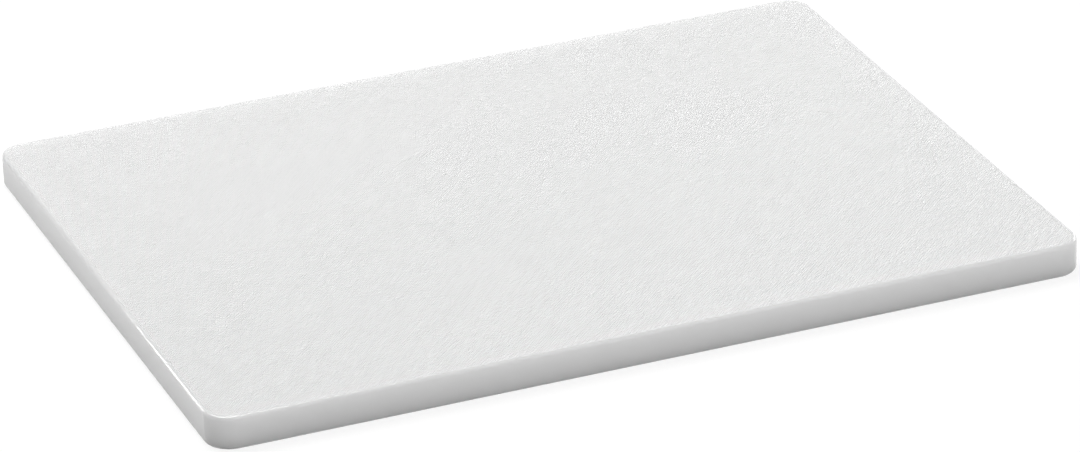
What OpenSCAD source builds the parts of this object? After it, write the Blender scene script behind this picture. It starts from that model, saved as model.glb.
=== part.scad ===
// Catering cutting board: one slab of solid white polyethylene, the same on both faces.
// It lies flat on its underside. The origin is the middle of the underside,
// the length runs along X, the width along Y and the thickness up along Z.

/* [Slab] */
// Length of the board
board_l = 400; // [200:5:600]
// Width of the board
board_w = 300; // [150:5:450]
// Thickness of the slab
board_t = 15; // [8:0.5:30]

/* [Rim] */
// Radius of the four corners, seen from above
corner_r = 12; // [4:0.5:40]
// Radius of the softened edge round each face
edge_r = 1.6; // [0.4:0.1:3]

/* [Hidden] */
$fn = 96;

// A turn from one side of the board to the next
quarter = 90;
// The middle block runs from corner axis to corner axis, both ways
core_l = board_l - 2 * corner_r;
core_w = board_w - 2 * corner_r;
// Flat part of each face over the rim, and upright wall between the softened edges
flat_w = corner_r - edge_r;
wall_h = board_t - 2 * edge_r;

// Half section of the rim: X goes out from the core to the wall, Y goes up the slab
module rim_section() {
    square([flat_w, board_t]);
    translate([0, edge_r])
        square([corner_r, wall_h]);
    for (edge_y = [edge_r, board_t - edge_r])
        translate([flat_w, edge_y])
            circle(edge_r);
}

// A straight stretch of rim that faces +X, its back on the YZ plane
module side_rim(run) {
    rotate([quarter, 0, 0])
        linear_extrude(run, center = true)
            rim_section();
}

// A corner of rim, from the +X side round to the +Y side
module corner_rim() {
    rotate_extrude(angle = quarter)
        rim_section();
}

// The rim is one section carried all the way round: straight along the sides, turned at the corners
module rim() {
    for (turn = [0, 2 * quarter])
        rotate(turn) {
            translate([core_l / 2, 0, 0])
                side_rim(core_w);
            translate([0, core_w / 2, 0])
                rotate(quarter)
                    side_rim(core_l);
            translate([core_l / 2, core_w / 2, 0])
                corner_rim();
            translate([-core_l / 2, core_w / 2, 0])
                rotate(quarter)
                    corner_rim();
        }
}

module core() {
    translate([-core_l / 2, -core_w / 2, 0])
        cube([core_l, core_w, board_t]);
}

module board() {
    color("whitesmoke")
        union() {
            core();
            rim();
        }
}

board();
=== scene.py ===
import math
import bmesh
import bpy
from mathutils import Matrix, Vector


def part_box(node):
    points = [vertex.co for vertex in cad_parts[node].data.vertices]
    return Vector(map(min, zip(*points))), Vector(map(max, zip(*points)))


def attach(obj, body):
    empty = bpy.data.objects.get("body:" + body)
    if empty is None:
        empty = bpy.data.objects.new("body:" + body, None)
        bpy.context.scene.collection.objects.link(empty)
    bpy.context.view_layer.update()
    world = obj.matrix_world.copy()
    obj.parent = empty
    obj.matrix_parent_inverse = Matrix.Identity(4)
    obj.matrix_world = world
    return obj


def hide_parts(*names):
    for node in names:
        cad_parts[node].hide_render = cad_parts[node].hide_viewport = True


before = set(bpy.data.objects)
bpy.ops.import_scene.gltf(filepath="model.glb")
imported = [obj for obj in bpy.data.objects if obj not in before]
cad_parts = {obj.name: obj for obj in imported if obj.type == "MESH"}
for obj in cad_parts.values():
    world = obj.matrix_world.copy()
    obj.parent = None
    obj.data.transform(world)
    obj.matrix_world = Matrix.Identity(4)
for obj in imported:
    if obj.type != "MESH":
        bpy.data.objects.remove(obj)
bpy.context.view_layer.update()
mm = 0.001

# The slab's own box gives every size that follows from it
slabLow, slabHigh = (Vector(corner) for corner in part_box("board"))
slabSize = slabHigh - slabLow
slabMiddle = (slabHigh + slabLow) / 2
print("frame loaded, slab", [round(side / mm, 1) for side in slabSize])


# Camera, where the photograph was taken from
photoCamera = {
    "pictureWidth": 1080,
    "focalPixels": 5739.7,
    "sensorWidth": 36.0,
    "azimuth": -21.28,
    "elevation": 25.36,
    "roll": -1.776,
    "distance": 2545.7 * mm,
    "aim": Vector((3.72, -4.14, 0.0)) * mm,
    "nearest": 50 * mm,
    "farthest": 60000 * mm,
}


def addCamera(look):
    azimuth = math.radians(look["azimuth"])
    elevation = math.radians(look["elevation"])
    backward = Vector((
        math.sin(azimuth) * math.cos(elevation),
        -math.cos(azimuth) * math.cos(elevation),
        math.sin(elevation),
    ))
    lean = Matrix.Rotation(math.radians(look["roll"]), 3, "Z").to_quaternion()
    turn = backward.to_track_quat("Z", "Y") @ lean
    lens = bpy.data.cameras.new("photoCamera")
    lens.sensor_width = look["sensorWidth"]
    lens.lens = look["focalPixels"] * look["sensorWidth"] / look["pictureWidth"]
    lens.clip_start = look["nearest"]
    lens.clip_end = look["farthest"]
    camera = bpy.data.objects.new("photoCamera", lens)
    camera.matrix_world = Matrix.LocRotScale(look["aim"] + backward * look["distance"], turn, None)
    bpy.context.scene.collection.objects.link(camera)
    bpy.context.scene.camera = camera
    return camera


addCamera(photoCamera)
print("camera placed")


# Shader nodes: a wrapped socket takes + - * /, and one method adds any other node
class Wire:
    def __init__(self, tree, socket=None):
        self.tree = tree
        self.socket = socket

    def node(self, kind, settings=None, **inputs):
        made = self.tree.nodes.new(kind)
        for name, value in (settings or {}).items():
            setattr(made, name, value)
        for name, value in inputs.items():
            place = int(name[1:]) if name[1:].isdigit() else name.replace("_", " ")
            self.feed(made.inputs[place], value)
        return made

    def feed(self, target, value):
        if isinstance(value, Wire):
            self.tree.links.new(value.socket, target)
        else:
            target.default_value = value

    def out(self, made, name=0):
        return Wire(self.tree, made.outputs[name])

    def maths(self, operation, *values):
        made = self.node("ShaderNodeMath", {"operation": operation})
        for target, value in zip(made.inputs, values):
            self.feed(target, value)
        return self.out(made)

    def __add__(self, other):
        return self.maths("ADD", self, other)

    __radd__ = __add__

    def __mul__(self, other):
        return self.maths("MULTIPLY", self, other)

    __rmul__ = __mul__

    def __sub__(self, other):
        return self.maths("SUBTRACT", self, other)

    def __rsub__(self, other):
        return self.maths("SUBTRACT", other, self)

    def larger(self, other):
        return self.maths("MAXIMUM", self, other)

    def tones(self, low, high):
        made = self.node("ShaderNodeMix", {"data_type": "RGBA"}, i0=self, i6=low, i7=high)
        return self.out(made, 2)

    def noise(self, place, scale, detail, roughness=0.5):
        made = self.node("ShaderNodeTexNoise", {"noise_dimensions": "3D"}, Vector=place, Scale=scale,
                         Detail=detail, Roughness=roughness)
        return self.out(made)


def newMaterial(name):
    material = bpy.data.materials.new(name)
    material.use_nodes = True
    material.node_tree.nodes.clear()
    return material, Wire(material.node_tree)


def finishMaterial(wire, shader):
    made = wire.node("ShaderNodeOutputMaterial")
    wire.tree.links.new(shader.outputs[0], made.inputs["Surface"])


def grey(level):
    return (level, level, level, 1.0)


# The board: a slab with a rounded rim, and fine diagonal grooves across both faces
board = {
    "cornerRadius": 12.0 * mm,
    "edgeRadius": 1.6 * mm,
    "cornerSteps": 20,
    "edgeSteps": 8,
    "groovePitch": 1.108 * mm,   # between neighbouring grooves, square to them
    "grooveDepth": 0.32 * mm,
    "grooveFade": 0.35 * mm,     # the grooves run out in this margin, next to the rounded edge
    "crossDepth": 0.16 * mm,     # a shallower set of grooves crosses them, as relief in the finish
}

# White polyethylene: light goes in and out of it, its faces are dull and its milled rim is smoother
plastic = {
    "white": 0.86,
    "cloudWhite": 0.845,         # very faint clouds from the pressing
    "cloudScale": 9.0,
    "cloudDetail": 4.0,
    "cloudGrain": 0.55,
    "faceRoughness": 0.40,
    "rimRoughness": 0.11,
    "roughnessClouds": 0.05,
    "index": 1.51,
    "scatter": 1.0,
    "scatterDepth": 10.0 * mm,
    "scatterTint": (1.0, 1.0, 1.0),      # red, green and blue go equally deep
    "millDepth": 0.004 * mm,
    "millScale": 700.0,
    "millStretch": (0.06, 0.06, 1.0),    # the cutter's marks run along the rim
    "millDetail": 2.0,
}


def plasticShader(wire, look, place, roughness, normal):
    cloud = wire.noise(place, look["cloudScale"], look["cloudDetail"], look["cloudGrain"])
    return wire.node(
        "ShaderNodeBsdfPrincipled", None,
        Base_Color=cloud.tones(grey(look["white"]), grey(look["cloudWhite"])),
        Roughness=cloud * look["roughnessClouds"] + (roughness - look["roughnessClouds"] / 2),
        IOR=look["index"],
        Normal=normal,
        Subsurface_Weight=look["scatter"],
        Subsurface_Radius=look["scatterTint"],
        Subsurface_Scale=look["scatterDepth"],
    )


def gripMaterial(look, shape):
    material, wire = newMaterial("grippedPolyethylene")
    place = wire.out(wire.node("ShaderNodeTexCoord"), "Object")
    apart = wire.node("ShaderNodeSeparateXYZ", None, Vector=place)
    along = (wire.out(apart, 0) + wire.out(apart, 1)) * (math.sqrt(0.5) / shape["groovePitch"])
    crossing = wire.maths("PINGPONG", along, 0.5) * (-2 * shape["crossDepth"])    # ridge, groove, ridge
    relief = wire.node("ShaderNodeBump", None, Strength=1.0, Distance=1.0, Height=crossing)
    shader = plasticShader(wire, look, place, look["faceRoughness"], wire.out(relief))
    finishMaterial(wire, shader)
    return material


def rimMaterial(look):
    material, wire = newMaterial("milledPolyethylene")
    place = wire.out(wire.node("ShaderNodeTexCoord"), "Object")
    drawn = wire.out(wire.node("ShaderNodeMapping", None, Vector=place, Scale=look["millStretch"]))
    marks = wire.noise(drawn, look["millScale"], look["millDetail"]) * look["millDepth"]
    relief = wire.node("ShaderNodeBump", None, Strength=1.0, Distance=1.0, Height=marks)
    shader = plasticShader(wire, look, place, look["rimRoughness"], wire.out(relief))
    finishMaterial(wire, shader)
    return material


# From the rounded edge down to half the thickness
def upperHalf(look):
    mesh = bmesh.new()
    bmesh.ops.create_cube(mesh, size=1)
    bmesh.ops.scale(mesh, vec=slabSize, verts=mesh.verts)
    bmesh.ops.translate(mesh, vec=slabMiddle, verts=mesh.verts)
    uprights = [e for e in mesh.edges if abs(e.verts[0].co.z - e.verts[1].co.z) > slabSize.z / 2]
    bmesh.ops.bevel(mesh, geom=uprights, offset=look["cornerRadius"], offset_type="OFFSET",
                    affect="EDGES", segments=look["cornerSteps"], profile=0.5, material=-1)
    rims = [e for e in mesh.edges if {abs(f.normal.z) > 0.5 for f in e.link_faces} == {True, False}]
    bmesh.ops.bevel(mesh, geom=rims, offset=look["edgeRadius"], offset_type="OFFSET",
                    affect="EDGES", segments=look["edgeSteps"], profile=0.5, material=-1)
    bmesh.ops.bisect_plane(mesh, geom=mesh.verts[:] + mesh.edges[:] + mesh.faces[:],
                           plane_co=slabMiddle, plane_no=(0, 0, -1), clear_outer=True)
    for face in mesh.faces:
        face.smooth = True
        face.material_index = 1
    return mesh


# Diagonal cuts make a crest and a groove in turn, and the groove's points are then let down
def cutGrooves(mesh, look):
    top = max(mesh.faces, key=lambda face: face.calc_center_median().z)
    margin = bmesh.ops.inset_region(mesh, faces=[top], thickness=look["grooveFade"], use_even_offset=True)
    region = [top] + margin["faces"]
    edges = {edge for face in region for edge in face.edges}
    verts = {vert for face in region for vert in face.verts}
    geometry = region + list(edges) + list(verts)
    across = Vector((1, -1, 0)).normalized()
    step = look["groovePitch"] / 2
    reach = (slabSize.x + slabSize.y) * math.sqrt(0.5) / 2
    count = int(reach / step)
    for line in range(-count, count + 1):
        cut = bmesh.ops.bisect_plane(mesh, geom=geometry, dist=1e-7, plane_no=across,
                                     plane_co=slabMiddle + across * line * step)
        geometry = cut["geom"]
    faces = [item for item in geometry if isinstance(item, bmesh.types.BMFace)]
    grooved = set(faces)
    for face in faces:
        face.smooth = False
        face.material_index = 0
    inside = {v for f in faces for v in f.verts if all(n in grooved for n in v.link_faces)}
    for vert in inside:
        place = (vert.co - slabMiddle).dot(across) / step
        vert.co.z -= look["grooveDepth"] * abs((place + 1) % 2 - 1)
    return mesh


# The UV map lays the finish out on one square picture: both faces fill most of it, and the rim has
# four strips beside them, each one side and the corner that follows it
unwrap = {
    "picture": 1024,
    "gap": 8,
    "face": (850, 496),
    "strip": (32, 1000),
}


def faceSpot(place, layout):
    width, height = layout["face"]
    layer = 1 if place.z > 0 else 0
    across = place.x if layer else -place.x
    return Vector((
        layout["gap"] + width * (across / slabSize.x + 0.5),
        layout["gap"] + height * (place.y / slabSize.y + 0.5) + layer * layout["picture"] / 2,
    ))


def rimSpot(place, side, look, layout):
    turned = Matrix.Rotation(math.radians(-90 * side), 3, "Z") @ place
    half = slabSize.xy / 2 if side % 2 == 0 else slabSize.yx / 2
    beyond = turned.xy - half + Vector((1, 1)) * look["cornerRadius"]
    corner = max(0.0, beyond.y)
    along = turned.y - corner + look["cornerRadius"] * math.atan2(corner, beyond.x)
    inward = look["cornerRadius"] - math.hypot(corner, beyond.x)
    across = turned.z + math.copysign(inward, turned.z)
    width, height = layout["strip"]
    left = 2 * layout["gap"] + layout["face"][0] + side * (width + layout["gap"])
    return Vector((
        left + width * (0.5 - across / (slabSize.z + 2 * look["edgeRadius"])),
        layout["gap"] + height * (along / (slabSize.x + look["cornerRadius"]) + 0.5),
    ))


def unwrapBoard(mesh, look, layout):
    layer = mesh.loops.layers.uv.new("OFBake")
    core = slabSize / 2 - Vector((1, 1, 1)) * look["cornerRadius"]
    for face in mesh.faces:
        middle = face.calc_center_median() - slabMiddle
        outward = [math.copysign(max(0.0, abs(middle[k]) - core[k]), middle[k]) for k in (0, 1)]
        # One degree more, so that a straight side falls in its own strip
        heading = math.degrees(math.atan2(outward[1], outward[0])) + 361
        side = int(heading) % 360 // 90
        for corner in face.loops:
            place = corner.vert.co - slabMiddle
            if face.material_index == 0:
                spot = faceSpot(place, layout)
            else:
                spot = rimSpot(place, side, look, layout)
            corner[layer].uv = spot / layout["picture"]


def addBoard(look, finish, layout):
    mesh = cutGrooves(upperHalf(look), look)
    bmesh.ops.translate(mesh, vec=(0, 0, -slabMiddle.z), verts=mesh.verts)
    bmesh.ops.mirror(mesh, geom=mesh.verts[:] + mesh.edges[:] + mesh.faces[:], axis="Z", merge_dist=1e-6)
    bmesh.ops.translate(mesh, vec=(0, 0, slabMiddle.z), verts=mesh.verts)
    bmesh.ops.recalc_face_normals(mesh, faces=mesh.faces)
    unwrapBoard(mesh, look, layout)
    data = bpy.data.meshes.new("cuttingBoard")
    mesh.to_mesh(data)
    mesh.free()
    for material in finish:
        data.materials.append(material)
    piece = bpy.data.objects.new("cuttingBoard", data)
    bpy.context.scene.collection.objects.link(piece)
    shading = piece.modifiers.new("evenShading", "WEIGHTED_NORMAL")
    shading.keep_sharp = True
    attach(piece, "root")
    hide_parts("board")
    return piece


piece = addBoard(board, [gripMaterial(plastic, board), rimMaterial(plastic)], unwrap)
print("board made,", sum(len(p.vertices) - 2 for p in piece.data.polygons), "triangles")


# Floor, sky and lamps
studio = {
    "floorSize": 12.0,
    "floorColour": 0.85,
    "floorGlow": 0.84,           # what the camera sees of the floor: mostly even white
    "floorShadow": 0.22,         # and a little of what falls on it, so that the shadow stays
}


def showsBackground(wire):
    path = wire.node("ShaderNodeLightPath")
    seen = [wire.out(path, name) for name in ("Is Camera Ray", "Is Glossy Ray", "Is Transmission Ray")]
    return seen[0].larger(seen[1]).larger(seen[2])


def addFloor(look):
    mesh = bmesh.new()
    bmesh.ops.create_grid(mesh, x_segments=1, y_segments=1, size=look["floorSize"] / 2)
    data = bpy.data.meshes.new("floor")
    mesh.to_mesh(data)
    mesh.free()
    floor = bpy.data.objects.new("floor", data)
    bpy.context.scene.collection.objects.link(floor)
    material, wire = newMaterial("paleFloor")
    lit = wire.out(wire.node("ShaderNodeBsdfDiffuse", None, Color=grey(look["floorColour"])))
    shadow = wire.out(wire.node("ShaderNodeBsdfDiffuse", None, Color=grey(look["floorShadow"])))
    glow = wire.out(wire.node("ShaderNodeEmission", None, Color=grey(1.0), Strength=look["floorGlow"]))
    seen = wire.out(wire.node("ShaderNodeAddShader", None, i0=shadow, i1=glow))
    finishMaterial(wire, wire.node("ShaderNodeMixShader", None, i0=showsBackground(wire), i1=lit, i2=seen))
    material.cycles.emission_sampling = "NONE"    # the floor's white is a backdrop, not a lamp
    data.materials.append(material)
    return floor


def addSky():
    world = bpy.data.worlds.new("sky")
    world.use_nodes = True
    world.node_tree.nodes.clear()
    wire = Wire(world.node_tree)
    sky = wire.out(wire.node("ShaderNodeBackground", None, Color=grey(1.0), Strength=showsBackground(wire)))
    wire.node("ShaderNodeOutputWorld", None, Surface=sky)
    bpy.context.scene.world = world


# Azimuth is counted from +X towards +Y, and each box faces its aim, or else the origin
softBoxes = [
    {"name": "backTopBox", "azimuth": 103, "elevation": 68, "distance": 1.6,
     "size": (1.0, 1.0), "power": 20.4},
    {"name": "frontBox", "azimuth": 270, "elevation": 40, "distance": 1.6,
     "size": (2.0, 1.4), "power": 7.4},
    {"name": "frontRightBox", "azimuth": 308, "elevation": 15, "distance": 1.5,
     "size": (0.8, 0.6), "power": 1.6},
    {"name": "farRightBox", "azimuth": 30, "elevation": 15, "distance": 3.0,
     "size": (1.6, 1.2), "power": 23.0},
    {"name": "edgeBox", "azimuth": 113.9, "elevation": 16.1, "distance": 1.58,
     "size": (0.085, 0.8), "power": 2.3, "aim": (-0.242, -0.152, 0.046), "roll": 34.2},
]


def addSoftBox(look):
    lamp = bpy.data.lights.new(look["name"], "AREA")
    lamp.shape = "RECTANGLE"
    lamp.size, lamp.size_y = look["size"]
    lamp.energy = look["power"]
    azimuth, elevation = math.radians(look["azimuth"]), math.radians(look["elevation"])
    away = Vector((
        math.cos(azimuth) * math.cos(elevation),
        math.sin(azimuth) * math.cos(elevation),
        math.sin(elevation),
    ))
    roll = Matrix.Rotation(math.radians(look.get("roll", 0)), 3, "Z").to_quaternion()
    place = Vector(look.get("aim", (0, 0, 0))) + away * look["distance"]
    box = bpy.data.objects.new(look["name"], lamp)
    box.matrix_world = Matrix.LocRotScale(place, away.to_track_quat("Z", "Y") @ roll, None)
    box.visible_camera = False
    bpy.context.scene.collection.objects.link(box)
    return box


addFloor(studio)
addSky()
for softBox in softBoxes:
    addSoftBox(softBox)
bpy.context.scene.view_settings.view_transform = "Standard"
print("studio lit")
